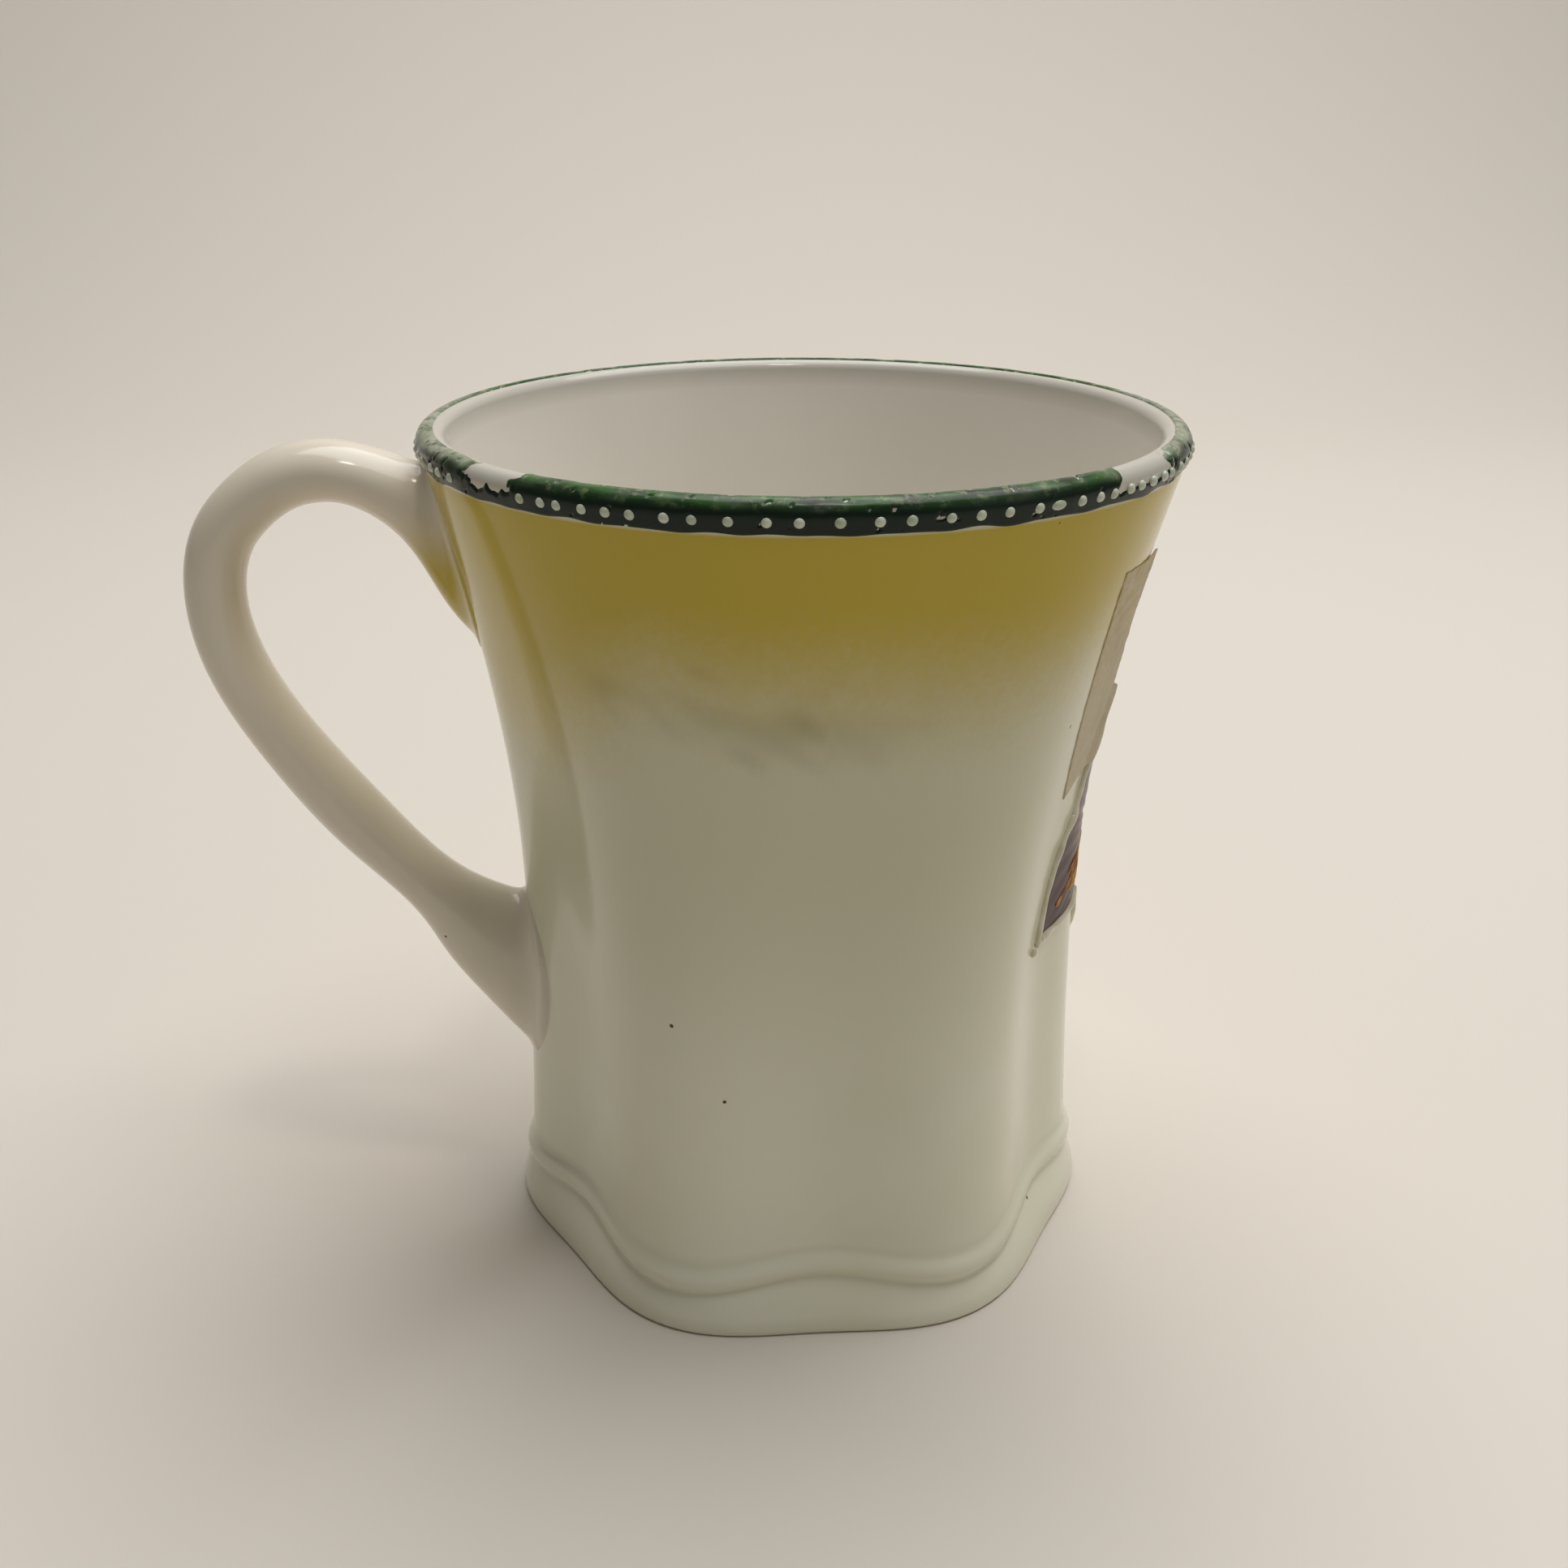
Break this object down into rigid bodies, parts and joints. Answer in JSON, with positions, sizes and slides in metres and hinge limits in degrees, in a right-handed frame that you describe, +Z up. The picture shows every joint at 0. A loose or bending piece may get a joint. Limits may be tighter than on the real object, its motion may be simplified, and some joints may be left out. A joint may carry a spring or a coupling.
{
  "type": "shaving mug",
  "caption": "Porcelain shaving mug with a lobed waisted body, scalloped foot, loop handle, green dotted rim and enamelled flower.",
  "frame": {"origin": "centre of the foot, in the plane of the surface the mug stands on", "axes": "+Z up out of the mouth, -X towards the handle, +X towards the flower, -Y towards the plain side seen with the handle at the left"},
  "size_m": [0.1048, 0.0796, 0.0924],
  "materials": {
    "porcelain_body": "clear-glazed white porcelain with a yellow ground sprayed under the rim",
    "porcelain_handle": "clear-glazed white porcelain",
    "green_enamel": "glossy dark green overglaze enamel, worn on the lip",
    "white_enamel": "raised glossy white enamel beads",
    "cream_enamel": "raised glossy cream enamel line",
    "maroon_enamel": "glossy maroon overglaze enamel",
    "gold_enamel": "gold-brown overglaze enamel",
    "leaf_enamel": "matt green overglaze enamel",
    "masking_tape": "creped beige masking paper, matt, torn along one edge"
  },
  "bodies": {
    "root": {"mug_body": "porcelain_body", "handle": "porcelain_handle", "rim_band": "green_enamel", "rim_dots": "white_enamel", "flower_outline": "cream_enamel", "flower_petals": "maroon_enamel", "flower_heart": "gold_enamel", "flower_leaves": "leaf_enamel", "tape_strip": "masking_tape"}
  },
  "joints": []
}
